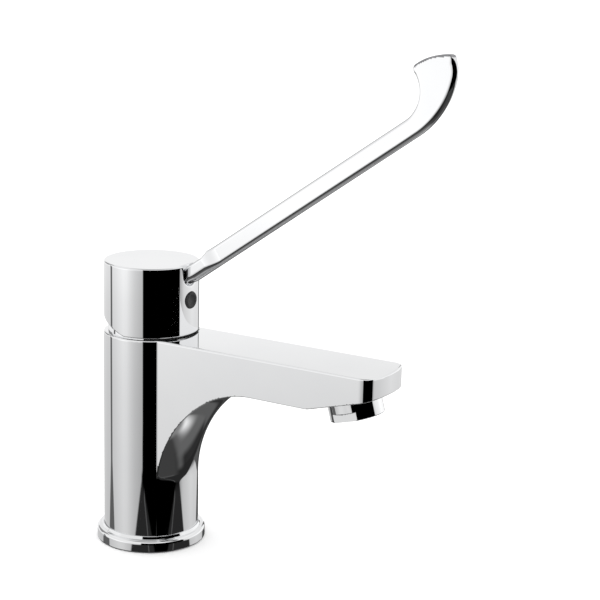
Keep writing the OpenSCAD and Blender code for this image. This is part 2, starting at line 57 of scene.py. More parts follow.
Array = np.ndarray
Field = Callable[[Array], Array]
Shape = bmesh.types.BMesh
Piece = bpy.types.Object
Mesh = bpy.types.Mesh
Tree = bpy.types.NodeTree
Node = bpy.types.Node
Socket = bpy.types.NodeSocket
Outline = list[tuple[float, float]]
Triple = tuple[float, float, float]
Stops = tuple[tuple[float, float], ...]


class Body(Enum):
    """The bodies of the tap that the rebuilt pieces ride on."""

    TAP = "tap"
    HANDLE = "handle"


class Slot(Enum):
    """The record's material slots that the rebuilt pieces take."""

    CHROME = "chrome"
    PLUG = "plug"


class Step(Enum):
    """What a shape does to the form that it meets."""

    ADD = "UNION"
    CUT = "DIFFERENCE"


def ease(value: Array, start: float, end: float) -> Array:
    """Rises smoothly from 0 at the start to 1 at the end."""
    share = np.clip((value - start) / (end - start), 0.0, 1.0)
    return share * share * (3.0 - 2.0 * share)


def round_meet(a: Array, b: Array, radius: Array | float) -> Array:
    """Distance to what lies in both of two solids, with the edge between them rounded.

    Args:
        a: Signed distances to the first solid.
        b: Signed distances to the second solid.
        radius: Radius of the rounded edge.

    Returns:
        Signed distances, below zero inside.
    """
    u = np.maximum(a + radius, 0.0)
    v = np.maximum(b + radius, 0.0)
    return np.minimum(np.maximum(a, b), -radius) + np.hypot(u, v)


def round_join(a: Array, b: Array, radius: Array | float) -> Array:
    """Distance to two solids together, with a hollow fillet where they meet.

    Args:
        a: Signed distances to the first solid.
        b: Signed distances to the second solid.
        radius: Radius of the fillet.

    Returns:
        Signed distances, below zero inside.
    """
    u = np.maximum(radius - a, 0.0)
    v = np.maximum(radius - b, 0.0)
    return np.maximum(np.minimum(a, b), radius) - np.hypot(u, v)


def in_frame(points: Array, x: float, z: float, tilt_deg: float) -> tuple[Array, Array]:
    """Gives places in a frame that is tilted in the tap's middle plane.

    Args:
        points: Places in mm, one a row.
        x: The frame's origin along the spout.
        z: The frame's origin upwards.
        tilt_deg: The frame's tilt from x towards z.

    Returns:
        Distances along the tilted axis and heights above it.
    """
    tilt = math.radians(tilt_deg)
    off_x = points[:, 0] - x
    off_z = points[:, 2] - z
    along = off_x * math.cos(tilt) + off_z * math.sin(tilt)
    return along, off_z * math.cos(tilt) - off_x * math.sin(tilt)


def from_axis(points: Array) -> Array:
    """Gives the distances of places from the column's axis."""
    return np.hypot(points[:, 0], points[:, 1])


def cylinder(radius: float, low: float, high: float, steps: int = 96) -> Shape:
    """Makes an upright cylinder about the column's axis.

    Args:
        radius: Its radius.
        low: Height of its bottom.
        high: Height of its top.
        steps: Number of sides.

    Returns:
        A closed shape in mm.
    """
    bm = bmesh.new()
    middle = Matrix.Translation((0.0, 0.0, (low + high) / 2.0))
    bmesh.ops.create_cone(bm, cap_ends=True, segments=steps, radius1=radius, radius2=radius,
                          depth=high - low, matrix=middle)
    return bm


def plate(outline: Outline, half_width: float) -> Shape:
    """Extrudes a side view to both sides of the tap's middle plane.

    Args:
        outline: Points (x, z) of the side view, in order.
        half_width: Half of the plate's width along y.

    Returns:
        A closed shape in mm.
    """
    bm = bmesh.new()
    face = bm.faces.new([bm.verts.new((x, -half_width, z)) for x, z in outline])
    grown = bmesh.ops.extrude_face_region(bm, geom=[face])
    moved = [item for item in grown["geom"] if isinstance(item, bmesh.types.BMVert)]
    bmesh.ops.translate(bm, verts=moved, vec=(0.0, 2.0 * half_width, 0.0))
    bmesh.ops.recalc_face_normals(bm, faces=bm.faces)
    return bm


def turned(profile: Outline, steps: int = 128) -> Shape:
    """Turns a closed profile round the column's axis.

    Args:
        profile: Points (radius, height), in order round the profile.
        steps: Number of steps round the axis.

    Returns:
        A closed shape in mm.
    """
    bm = bmesh.new()
    verts = [bm.verts.new((radius, 0.0, height)) for radius, height in profile]
    edges = [bm.edges.new((verts[k - 1], verts[k])) for k in range(len(verts))]
    bmesh.ops.spin(bm, geom=verts + edges, cent=(0.0, 0.0, 0.0), axis=(0.0, 0.0, 1.0),
                   angle=2.0 * math.pi, steps=steps, use_merge=True)
    bmesh.ops.recalc_face_normals(bm, faces=bm.faces)
    return bm


def arc(centre: tuple[float, float], radius: float, start: float, end: float, steps: int) -> Outline:
    """Gives points along an arc.

    Args:
        centre: The arc's centre.
        radius: Its radius.
        start: First angle in degrees, from the first axis towards the second.
        end: Last angle in degrees.
        steps: Number of chords.

    Returns:
        The points, both ends included.
    """
    points = []
    for k in range(steps + 1):
        angle = math.radians(start + (end - start) * k / steps)
        points.append((centre[0] + radius * math.cos(angle), centre[1] + radius * math.sin(angle)))
    return points


def placed(bm: Shape, degrees: float, axis: str, spot: Triple) -> Shape:
    """Turns a shape about an axis of the tap's frame and moves it.

    Args:
        bm: The shape in mm.
        degrees: The angle.
        axis: The axis's name.
        spot: Where the frame's origin goes.

    Returns:
        The same shape.
    """
    bmesh.ops.transform(bm, matrix=Matrix.Rotation(math.radians(degrees), 4, axis), verts=bm.verts)
    bmesh.ops.translate(bm, verts=bm.verts, vec=spot)
    return bm


def as_object(name: str, bm: Shape) -> Piece:
    """Turns a shape in millimetres into a smooth object in metres.

    Args:
        name: The object's name.
        bm: The shape, which is freed.

    Returns:
        The object, linked to the scene at the origin.
    """
    bmesh.ops.scale(bm, vec=(MM, MM, MM), verts=bm.verts)
    for face in bm.faces:
        face.smooth = True
    mesh = bpy.data.meshes.new(name)
    bm.to_mesh(mesh)
    bm.free()
    made = bpy.data.objects.new(name, mesh)
    bpy.context.scene.collection.objects.link(made)
    return made


def add_node(tree: Tree, kind: str, links: dict[str, Socket], values: dict[str, float | Triple]) -> Node:
    """Adds a shader node.

    Args:
        tree: The nodes of the material.
        kind: The node's type.
        links: The sockets that feed its inputs.
        values: The fixed values of other inputs.

    Returns:
        The node.
    """
    node = tree.nodes.new(kind)
    for name, source in links.items():
        tree.links.new(source, node.inputs[name])
    for name, value in values.items():
        node.inputs[name].default_value = value
    return node


@dataclass
class FilletedForm:
    """A closed skin that lies on a signed distance, so that each fillet has its true radius.

    Shapes made by bmesh operators are joined and cut, remeshed to even quads, and each vertex then
    settles where the distance is zero. Edges across which the form turns sharply are split, so that
    small radii are round too.
    """

    name: str
    distance: Field
    voxel: float
    rounds: int = 2
    smoothing: float = 0.5
    settle_steps: int = 5
    least_slope: float = 0.3
    splits: int = 2
    sharp_deg: float = 14.0
    probe: float = 0.01

    def slope(self, points: Array) -> Array:
        """Gives the direction in which the distance grows.

        Args:
            points: Places in mm, one a row.

        Returns:
            The gradients, one a row.
        """
        columns = []
        for axis in range(3):
            shift = np.zeros(3)
            shift[axis] = self.probe
            rise = self.distance(points + shift) - self.distance(points - shift)
            columns.append(rise / (2.0 * self.probe))
        return np.stack(columns, axis=1)

    def normals(self, points: Array) -> Array:
        """Gives the form's outward directions at places on it."""
        slope = self.slope(points)
        return slope / np.maximum(np.linalg.norm(slope, axis=1, keepdims=True), 1e-6)

    def settle(self, points: Array) -> Array:
        """Moves places onto the form's surface.

        Args:
            points: Places in mm, one a row.

        Returns:
            The places on the surface.
        """
        for _ in range(self.settle_steps):
            slope = self.slope(points)
            steep = np.maximum((slope * slope).sum(axis=1), self.least_slope)
            step = np.clip(self.distance(points) / steep, -self.voxel, self.voxel)
            points = points - slope * step[:, None]
        return points

    def shift(self, mesh: Mesh) -> Array:
        """Settles a mesh's vertices.

        Args:
            mesh: The mesh, in metres.

        Returns:
            Its new vertices in mm.
        """
        flat = np.empty(len(mesh.vertices) * 3)
        mesh.vertices.foreach_get("co", flat)
        points = self.settle(flat.reshape(-1, 3) / MM)
        mesh.vertices.foreach_set("co", (points * MM).ravel())
        mesh.update()
        return points

    def split(self, mesh: Mesh) -> None:
        """Splits the edges across which the form turns sharply.

        Args:
            mesh: The mesh, in metres.
        """
        normals = self.normals(self.shift(mesh))
        ends = np.empty(len(mesh.edges) * 2, dtype=np.int32)
        mesh.edges.foreach_get("vertices", ends)
        ends = ends.reshape(-1, 2)
        alike = (normals[ends[:, 0]] * normals[ends[:, 1]]).sum(axis=1)
        picked = np.nonzero(alike < math.cos(math.radians(self.sharp_deg)))[0]
        bm = bmesh.new()
        bm.from_mesh(mesh)
        bm.edges.ensure_lookup_table()
        bmesh.ops.subdivide_edges(bm, edges=[bm.edges[k] for k in picked], cuts=1, use_grid_fill=True)
        bm.to_mesh(mesh)
        bm.free()

    def fit(self, mesh: Mesh) -> None:
        """Settles a mesh on the form and gives it the form's own normals.

        Args:
            mesh: The mesh, in metres.
        """
        for _ in range(self.rounds):
            self.shift(mesh)
            bm = bmesh.new()
            bm.from_mesh(mesh)
            bmesh.ops.smooth_vert(bm, verts=bm.verts, factor=self.smoothing, use_axis_x=True,
                                  use_axis_y=True, use_axis_z=True)
            bm.to_mesh(mesh)
            bm.free()
        for _ in range(self.splits):
            self.split(mesh)
        normals = self.normals(self.shift(mesh))
        mesh.shade_smooth()
        mesh.normals_split_custom_set_from_vertices(normals.tolist())

    def make(self, blank: Shape, steps: list[tuple[Step, Shape]]) -> Piece:
        """Builds the form.

        Args:
            blank: The closed shape in mm that it starts from.
            steps: The closed shapes in mm that are added or cut away, in order.

        Returns:
            The finished object.
        """
        made = as_object(self.name, blank)
        helpers = []
        for step, shape in steps:
            helper = as_object(f"{self.name}_helper", shape)
            change = made.modifiers.new(step.name.lower(), "BOOLEAN")
            change.operation = step.value
            change.solver = "EXACT"
            change.object = helper
            helpers.append(helper)
        remesh = made.modifiers.new("even_quads", "REMESH")
        remesh.mode = "VOXEL"
        remesh.voxel_size = self.voxel * MM
        graph = bpy.context.evaluated_depsgraph_get()
        baked = bpy.data.meshes.new_from_object(made.evaluated_get(graph))
        made.modifiers.clear()
        made.data = baked
        for helper in helpers:
            bpy.data.meshes.remove(helper.data)
        self.fit(made.data)
        return made


@dataclass(frozen=True)
class Finish:
    """A surface finish made of shader nodes: a base colour with fine variation, gloss and relief."""

    name: str
    colour: Triple
    shade: Triple
    metallic: float = 0.0
    gloss: tuple[float, float] = (0.3, 0.4)
    grain: float = 900.0
    stretch: Triple = (1.0, 1.0, 1.0)
    relief: float = 0.05
    relief_depth: float = 0.00002
    specular: float = 0.5
    broad_share: float = 1.0 / 14.0
    drift: tuple[float, float] = (0.35, 0.65)
    gloss_from: tuple[float, float] = (0.3, 0.7)

    def material(self) -> bpy.types.Material:
        """Builds the material.

        Returns:
            The material, made once and shared afterwards.
        """
        known = bpy.data.materials.get(self.name)
        if known:
            return known
        made = bpy.data.materials.new(self.name)
        made.use_nodes = True
        tree = made.node_tree
        shader = tree.nodes["Principled BSDF"]
        shader.inputs["Metallic"].default_value = self.metallic
        shader.inputs["Specular IOR Level"].default_value = self.specular
        spot = tree.nodes.new("ShaderNodeTexCoord").outputs["Object"]
        spread = add_node(tree, "ShaderNodeMapping", {"Vector": spot}, {"Scale": self.stretch})
        place = {"Vector": spread.outputs["Vector"]}
        fine = add_node(tree, "ShaderNodeTexNoise", place, {"Scale": self.grain, "Detail": 4.0})
        fine_height = fine.outputs["Fac"]
        broad = add_node(tree, "ShaderNodeTexNoise", place,
                         {"Scale": self.grain * self.broad_share, "Detail": 2.0})
        tint = add_node(tree, "ShaderNodeValToRGB", {"Fac": broad.outputs["Fac"]}, {})
        for stop, position, colour in zip(tint.color_ramp.elements, self.drift, (self.shade, self.colour)):
            stop.position = position
            stop.color = (*colour, 1.0)
        polish = add_node(tree, "ShaderNodeMapRange", {"Value": fine_height},
                          {"From Min": self.gloss_from[0], "From Max": self.gloss_from[1],
                           "To Min": self.gloss[0], "To Max": self.gloss[1]})
        bump = add_node(tree, "ShaderNodeBump", {"Height": fine_height},
                        {"Strength": self.relief, "Distance": self.relief_depth})
        tree.links.new(tint.outputs["Color"], shader.inputs["Base Color"])
        tree.links.new(polish.outputs["Result"], shader.inputs["Roughness"])
        tree.links.new(bump.outputs["Normal"], shader.inputs["Normal"])
        return made

    def dress(self, made: Piece) -> None:
        """Puts the finish on every face of an object."""
        made.data.materials.clear()
        made.data.materials.append(self.material())

    def dress_some(self, made: Piece, test: Field) -> None:
        """Puts the finish on some faces of an object that has another finish.

        Args:
            made: The object.
            test: Says which of the faces' middles, in mm, belong to the finish.
        """
        mesh = made.data
        mesh.materials.append(self.material())
        middles = np.empty(len(mesh.polygons) * 3)
        mesh.polygons.foreach_get("center", middles)
        picked = test(middles.reshape(-1, 3) / MM)
        mesh.polygons.foreach_set("material_index", picked.astype(np.int32))


CHROME = Finish("chrome_plate", (0.88, 0.885, 0.89), (0.86, 0.865, 0.875), metallic=1.0, gloss=(0.012, 0.03),
                grain=420.0, relief=0.004, relief_depth=0.00001)
RUBBER = Finish("black_rubber", (0.035, 0.035, 0.036), (0.022, 0.022, 0.023), gloss=(0.55, 0.72),
                grain=2600.0, relief=0.25, relief_depth=0.00004, specular=0.35)
BRASS = Finish("turned_brass", (0.74, 0.56, 0.25), (0.66, 0.48, 0.2), metallic=1.0, gloss=(0.2, 0.34),
               grain=1500.0, stretch=(0.2, 0.2, 3.0), relief=0.1, relief_depth=0.00003)
STEEL = Finish("ground_steel", (0.62, 0.63, 0.65), (0.52, 0.53, 0.55), metallic=1.0, gloss=(0.18, 0.32),
               grain=1800.0, stretch=(0.3, 0.3, 4.0), relief=0.08, relief_depth=0.00003)
WHITE_PLASTIC = Finish("white_acetal", (0.84, 0.84, 0.82), (0.78, 0.78, 0.75), gloss=(0.32, 0.46),
                       grain=2200.0, relief=0.12, relief_depth=0.00003)
GREY_PLASTIC = Finish("grey_acetal", (0.32, 0.33, 0.35), (0.27, 0.28, 0.3), gloss=(0.32, 0.48),
                      grain=2200.0, relief=0.12, relief_depth=0.00003)
LAPPED_DISC = Finish("lapped_ceramic", (0.9, 0.89, 0.85), (0.86, 0.85, 0.8), gloss=(0.06, 0.14),
                     grain=3000.0, relief=0.03, relief_depth=0.00001)
# Near-black finish: painted shade in the casting's hollows, on the seat under the cap's front and in the
# cap's hollow.
PAINTED_SHADE_INSIDE = Finish("painted_shade_inside", (0.05, 0.05, 0.051), (0.036, 0.036, 0.037), metallic=0.3,
                     gloss=(0.6, 0.75), grain=1600.0, relief=0.3, relief_depth=0.00006, specular=0.15)
# Dull grey finish: painted shade along the lever hook's end edge.
PAINTED_END_SHADE = Finish("painted_end_edge_shade", (0.34, 0.34, 0.35), (0.27, 0.27, 0.28), metallic=1.0, gloss=(0.3, 0.42),
                  grain=2200.0, relief=0.1, relief_depth=0.00002)
DARK_PLUG = Finish("dark_plug", (0.028, 0.028, 0.029), (0.02, 0.02, 0.021), gloss=(0.4, 0.55),
                   grain=2400.0, relief=0.2, relief_depth=0.00004, specular=0.25)


def finish_piece(made: Piece, body: Body, finish: Finish, node: str) -> None:
    """Dresses a new piece and ties it to the frame.

    Args:
        made: The piece.
        body: The body that it rides on.
        finish: Its surface finish.
        node: The CAD node that it stands for.
    """
    finish.dress(made)
    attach(made, body.value)
    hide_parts(node)
    LOG.info("%s: %d faces on %s", made.name, len(made.data.polygons), body.value)


@dataclass
class Casting:
    """The chromed casting: a round column, a flat spout and the arch between them."""

    column_r: float = 23.0
    foot_z: float = 2.6
    top_z: float = 104.8
    spout_x: float = 5.0
    spout_half: float = 17.0
    reach: float = 130.5
    front_r: float = 45.0
    corner_r: float = 5.5
    under_z: float = 86.0
    kink_x: float = 97.0
    kink_deg: float = 15.36
    arch_w: float = 46.3
    arch_h: float = 52.4
    arch_overlap: float = 2.0
    top_edge_r: float = 0.85
    under_edge_r: float = 0.28
    crease_r: float = 0.4
    crease_fade: float = 1.5
    arch_crease_r: float = 0.05
    hose_r: float = 19.5
    hose_top: float = 54.0
    chamber_r: float = 17.75
    chamber_z: float = 72.0
    nut_r: float = 20.05
    nut_z: float = 100.8
    # Where the painted shade lies on the seat under the cap's front.
    seat_r: float = 22.75
    seat_x: float = 12.0
    seat_skin: float = 0.05
    aerator_x: float = 111.8
    aerator_z: float = 90.07
    socket_r: float = 10.45
    socket_low: float = -6.0
    socket_depth: float = 7.1
    voxel: float = 0.8

    def plan(self, points: Array) -> Array:
        """Distance to the spout's outline seen from above.

        Args:
            points: Places in mm, one a row.

        Returns:
            Signed distances.
        """
        ahead = points[:, 0] - (self.reach - self.front_r)
        aside = np.abs(points[:, 1])
        half = self.spout_half - self.corner_r
        bow = self.front_r - self.corner_r
        corner = math.sqrt(bow * bow - half * half)
        front = np.hypot(np.maximum(ahead, 0.0), aside) - bow
        at_corner = (ahead > corner) & (aside * corner > half * ahead)
        rounded = np.hypot(ahead - corner, aside - half)
        return np.where(at_corner, rounded, np.maximum(aside - half, front)) - self.corner_r

    def underside(self, points: Array) -> Array:
        """Distance to the space above the spout's underside and the arch.

        Args:
            points: Places in mm, one a row.

        Returns:
            Signed distances, above zero below the spout.
        """
        x = points[:, 0]
        z = points[:, 2]
        rise = math.radians(self.kink_deg)
        nose = (x - self.kink_x) * math.sin(rise) - (z - self.under_z) * math.cos(rise)
        flat = np.maximum(self.under_z - z, nose)
        out = (self.column_r + self.arch_w - from_axis(points)) / self.arch_w
        up = np.maximum(z - self.under_z + self.arch_h, 0.0) / self.arch_h
        return np.where(out <= 0.0, flat, self.arch_w * (1.0 - np.hypot(out, up)))

    def hollows(self, points: Array) -> Array:
        """Distance to the casting's inner spaces: hose cavity, cartridge chamber and aerator socket.

        Args:
            points: Places in mm, one a row.

        Returns:
            Signed distances, below zero in a hollow.
        """
        z = points[:, 2]
        radius = from_axis(points)
        hoses = np.maximum(radius - self.hose_r, z - self.hose_top)
        chamber = np.maximum(radius - self.chamber_r, self.chamber_z - z)
        nut = np.maximum(radius - self.nut_r, self.nut_z - z)
        ahead, up = in_frame(points, self.aerator_x, self.aerator_z, self.kink_deg)
        socket = np.maximum(np.hypot(ahead, points[:, 1]) - self.socket_r, up - self.socket_depth)
        return np.minimum(np.minimum(hoses, chamber), np.minimum(nut, socket))

    def distance(self, points: Array) -> Array:
        """Distance to the casting.

        Args:
            points: Places in mm, one a row.

        Returns:
            Signed distances.
        """
        z = points[:, 2]
        plan = self.plan(points)
        under = self.underside(points)
        spout = np.maximum(round_meet(plan, under, self.under_edge_r), -points[:, 0])
        beside_arch = ease(plan - under, -self.crease_fade, 0.0)
        crease = self.arch_crease_r + (self.crease_r - self.arch_crease_r) * beside_arch
        outside = round_join(from_axis(points) - self.column_r, spout, crease)
        outside = round_meet(outside, z - self.top_z, self.top_edge_r)
        outside = np.maximum(outside, self.foot_z - z)
        return np.maximum(outside, -self.hollows(points))

    def painted_shade_faces(self, points: Array) -> Array:
        """Finds the hollows and the seat below the cap's front, which get a near-black finish as painted
        shade.

        Args:
            points: Places in mm, one a row.

        Returns:
            Whether each place is bare.
        """
        seat = (from_axis(points) < self.seat_r) & (points[:, 2] > self.top_z - self.seat_skin)
        seat &= points[:, 0] > self.seat_x
        return seat | (np.abs(self.hollows(points)) < SKIN)

    def arch_blank(self) -> Shape:
        """Makes the arch's blank: a fillet turned round the column and cut to the spout's width.

        Returns:
            A closed shape in mm.
        """
        inner = (self.column_r + self.hose_r) / 2.0
        end = self.column_r + self.arch_w
        foot = self.under_z - self.arch_h
        top = self.under_z + self.arch_overlap
        quarter = arc((0.0, 0.0), 1.0, 180.0, 90.0, 20)
        profile = [(end + self.arch_w * x, foot + self.arch_h * z) for x, z in quarter]
        bm = turned(profile + [(end, top), (inner, top), (inner, foot)])
        for off, away in ((0.0, (-1.0, 0.0, 0.0)), (self.spout_half, (0.0, 1.0, 0.0)),
                          (-self.spout_half, (0.0, -1.0, 0.0))):
            whole = bm.verts[:] + bm.edges[:] + bm.faces[:]
            cut = bmesh.ops.bisect_plane(bm, geom=whole, plane_co=(0.0, off, 0.0), plane_no=away,
                                         clear_outer=True)
            rim = [item for item in cut["geom_cut"] if isinstance(item, bmesh.types.BMEdge)]
            if off:
                bmesh.ops.contextual_create(bm, geom=rim)
        bmesh.ops.recalc_face_normals(bm, faces=bm.faces)
        return bm

    def spout_blank(self) -> Shape:
        """Makes the spout's blank, with its two front corners rounded.

        Returns:
            A closed shape in mm.
        """
        nose_z = self.under_z + (self.reach - self.kink_x) * math.tan(math.radians(self.kink_deg))
        bm = plate([(self.spout_x, self.under_z), (self.kink_x, self.under_z), (self.reach, nose_z),
                    (self.reach, self.top_z), (self.spout_x, self.top_z)], self.spout_half)
        corners = []
        for edge in bm.edges:
            a, b = edge.verts
            upright = (a.co.xy - b.co.xy).length < SKIN
            if upright and a.co.x > self.reach - SKIN:
                corners.append(edge)
        bmesh.ops.bevel(bm, geom=corners, offset=self.corner_r, segments=6, profile=0.5, affect="EDGES",
                        material=-1)
        return bm

    def build(self) -> None:
        """Builds and dresses the casting."""
        socket = placed(cylinder(self.socket_r, self.socket_low, self.socket_depth), -self.kink_deg, "Y",
                        (self.aerator_x, 0.0, self.aerator_z))
        above = self.top_z + SPARE
        made = FilletedForm("casting", self.distance, self.voxel).make(
            cylinder(self.column_r, self.foot_z, self.top_z),
            [(Step.ADD, self.spout_blank()),
             (Step.ADD, self.arch_blank()),
             (Step.CUT, cylinder(self.hose_r, self.foot_z - SPARE, self.hose_top)),
             (Step.CUT, cylinder(self.chamber_r, self.chamber_z, above)),
             (Step.CUT, cylinder(self.nut_r, self.nut_z, above)),
             (Step.CUT, socket)],
        )
        finish_piece(made, Body.TAP, CHROME, "tap_body")
        # Painted shade: the hollows and the front of the seat under the cap get a near-black finish.
        PAINTED_SHADE_INSIDE.dress_some(made, self.painted_shade_faces)


@dataclass
class BaseRing:
    """The escutcheon ring round the column's foot."""

    outer_r: float = 26.4
    collar_r: float = 23.05
    top_z: float = 7.4
    lip_r: float = 0.25
    slope_r: float = 23.95
    slope_z: float = 6.2
    valley_r: float = 24.4
    valley_z: float = 6.0
    bead_r: float = 1.6
    side_top: float = 4.4
    side_strip: float = 0.15
    bottom_z: float = 0.3
    floor_z: float = 2.6
    inner_r: float = 20.6
    groove_r: float = 25.25
    groove_z: float = 1.65
    bevel: float = 0.35
    sharp_deg: float = 40.0

    def build(self) -> None:
        """Builds and dresses the ring."""
        lip_z = self.top_z - self.lip_r
        foot_z = self.bottom_z + self.bevel
        profile = [(self.collar_r, self.floor_z), (self.collar_r, lip_z)]
        profile += arc((self.collar_r + self.lip_r, lip_z), self.lip_r, 180.0, 60.0, 4)
        profile += [(self.slope_r, self.slope_z), (self.valley_r, self.valley_z)]
        profile += arc((self.outer_r - self.bead_r, self.side_top), self.bead_r, 86.0, 0.0, 10)
        profile += [(self.outer_r, self.side_top - self.side_strip), (self.outer_r, foot_z + self.side_strip)]
        profile += arc((self.outer_r - self.bevel, foot_z), self.bevel, 0.0, -90.0, 5)
        profile += [(self.groove_r, self.bottom_z), (self.groove_r, self.groove_z)]
        profile += [(self.inner_r, self.groove_z), (self.inner_r, self.floor_z)]
        made = as_object("escutcheon", turned(profile))
        made.data.set_sharp_from_angle(angle=math.radians(self.sharp_deg))
        finish_piece(made, Body.TAP, CHROME, "base_ring")


@dataclass
class Cap:
    """The chromed cap with its lever notch, its rear wedge gap and the dark plug over the set screw."""

    outer_r: float = 22.8
    low_z: float = 105.6
    top_z: float = 139.1
    bore_r: float = 21.4
    axis_r: float = 0.01
    ceiling_z: float = 134.5
    top_edge_r: float = 0.8
    rim_r: float = 0.5
    wedge_deg: float = 20.0
    wedge_reach: float = 30.0
    notch_half: float = 5.3
    notch_x: float = 19.8
    notch_c: float = 134.4
    notch_edge_r: float = 0.45
    boss_r: float = 8.5
    boss_z: float = 113.0
    web_half: float = 6.4
    web_z: float = 117.3
    web_x: float = 5.0
    web_out: float = 0.6
    web_up: float = 1.0
    plug_r: float = 4.05
    plug_z: float = 122.3
    plug_in: float = 20.2
    plug_out: float = 23.5
    plug_gap: float = 0.12
    plug_soft: float = 0.5
    plug_sharp_deg: float = 50.0
    seat_deeper: float = 0.2
    dish_share: float = 0.62
    dish_floor_share: float = 0.56
    dish_lip: float = 0.06
    dish_depth: float = 0.22
    weld: float = 0.001
    voxel: float = 0.42

    def notch(self, points: Array) -> Array:
        """Distance to the round-bottomed notch that the lever leaves through.

        Args:
            points: Places in mm, one a row.

        Returns:
            Signed distances, below zero in the notch.
        """
        above = points[:, 2] - self.notch_c
        across = np.where(above > 0.0, np.abs(points[:, 1]), np.hypot(points[:, 1], above))
        return np.maximum(across - self.notch_half, self.notch_x - points[:, 0])

    def inside(self, points: Array) -> Array:
        """Distance to the cap's hollow, which leaves a boss and a web standing.

        Args:
            points: Places in mm, one a row.

        Returns:
            Signed distances, below zero in the hollow.
        """
        z = points[:, 2]
        radius = from_axis(points)
        hollow = np.maximum(radius - self.bore_r, z - self.ceiling_z)
        boss = np.maximum(radius - self.boss_r, self.boss_z - z)
        web = np.maximum(np.maximum(np.abs(points[:, 1]) - self.web_half, -points[:, 0]), self.web_z - z)
        return np.maximum(hollow, -np.minimum(boss, web))

    def painted_shade_faces(self, points: Array) -> Array:
        """Finds the cap's hollow, which gets a near-black finish as painted shade."""
        return np.abs(self.inside(points)) < SKIN

    def distance(self, points: Array) -> Array:
        """Distance to the cap.

        Args:
            points: Places in mm, one a row.

        Returns:
            Signed distances.
        """
        z = points[:, 2]
        lean = math.radians(self.wedge_deg)
        wedge = -points[:, 0] * math.sin(lean) - (z - self.low_z) * math.cos(lean)
        foot = np.maximum(self.low_z - z, wedge)
        shell = round_meet(from_axis(points) - self.outer_r, z - self.top_z, self.top_edge_r)
        shell = round_meet(shell, foot, self.rim_r)
        shell = round_meet(shell, -self.notch(points), self.notch_edge_r)
        seat = np.hypot(points[:, 1], z - self.plug_z) - self.plug_r - self.plug_gap
        seat = np.maximum(seat, self.plug_in - self.seat_deeper - points[:, 0])
        return np.maximum(np.maximum(shell, -self.inside(points)), -seat)

    def hollow_cutter(self) -> Shape:
        """Makes the cutter of the hollow round the boss.

        Returns:
            A closed shape in mm.
        """
        low = self.low_z - SPARE
        return turned([(self.boss_r, self.boss_z), (self.boss_r, self.ceiling_z),
                       (self.bore_r, self.ceiling_z), (self.bore_r, low),
                       (self.axis_r, low), (self.axis_r, self.boss_z)])

    def wedge_cutter(self) -> Shape:
        """Makes the cutter of the wedge gap at the back.

        Returns:
            A closed shape in mm.
        """
        low = self.low_z - SPARE
        back_z = self.low_z + self.wedge_reach * math.tan(math.radians(self.wedge_deg))
        return plate([(0.0, self.low_z), (-self.wedge_reach, back_z), (-self.wedge_reach, low), (0.0, low)],
                     self.wedge_reach)

    def web_blank(self) -> Shape:
        """Makes the web that the lever's tang sits in.

        Returns:
            A closed shape in mm.
        """
        out = self.bore_r + self.web_out
        top = self.ceiling_z + self.web_up
        side = [(self.web_x, self.web_z), (out, self.web_z), (out, top), (self.web_x, top)]
        return plate(side, self.web_half)

    def notch_cutter(self) -> Shape:
        """Makes the cutter of the notch: a round bar and the slot above it.

        Returns:
            A closed shape in mm.
        """
        top = self.top_z + SPARE
        outline = arc((0.0, self.notch_c), self.notch_half, 180.0, 360.0, 24)
        outline += [(self.notch_half, top), (-self.notch_half, top)]
        return placed(plate(outline, SPARE), 90.0, "Z", (self.notch_x + SPARE, 0.0, 0.0))

    def at_plug(self, bm: Shape) -> Shape:
        """Lays an upright shape along the plug's axis."""
        return placed(bm, 90.0, "Y", (0.0, 0.0, self.plug_z))

    def build(self) -> None:
        """Builds and dresses the cap and its plug."""
        seat = cylinder(self.plug_r + self.plug_gap, self.plug_in - self.seat_deeper,
                        self.plug_out + SPARE, 48)
        made = FilletedForm("cap", self.distance, self.voxel).make(
            cylinder(self.outer_r, self.low_z, self.top_z),
            [(Step.CUT, self.hollow_cutter()),
             (Step.CUT, self.wedge_cutter()),
             (Step.ADD, self.web_blank()),
             (Step.CUT, self.notch_cutter()),
             (Step.CUT, self.at_plug(seat))],
        )
        finish_piece(made, Body.HANDLE, CHROME, "cap_shell")
        # Painted shade: the cap's hollow gets a near-black finish.
        PAINTED_SHADE_INSIDE.dress_some(made, self.painted_shade_faces)
        self.build_plug()

    def build_plug(self) -> None:
        """Builds and dresses the dark plug."""
        shoulder = self.plug_out - self.plug_soft
        dish = self.plug_out - self.dish_depth
        profile = [(0.0, self.plug_in), (self.plug_r, self.plug_in), (self.plug_r, shoulder)]
        profile += arc((self.plug_r - self.plug_soft, shoulder), self.plug_soft, 0.0, 80.0, 5)
        profile += [(self.plug_r * self.dish_share, self.plug_out - self.dish_lip),
                    (self.plug_r * self.dish_floor_share, dish), (0.0, dish)]
        bm = turned(profile, 64)
        bmesh.ops.remove_doubles(bm, verts=bm.verts, dist=self.weld)
        made = as_object("plug", self.at_plug(bm))
        made.data.set_sharp_from_angle(angle=math.radians(self.plug_sharp_deg))
        finish_piece(made, Body.HANDLE, DARK_PLUG, "cover_plug")


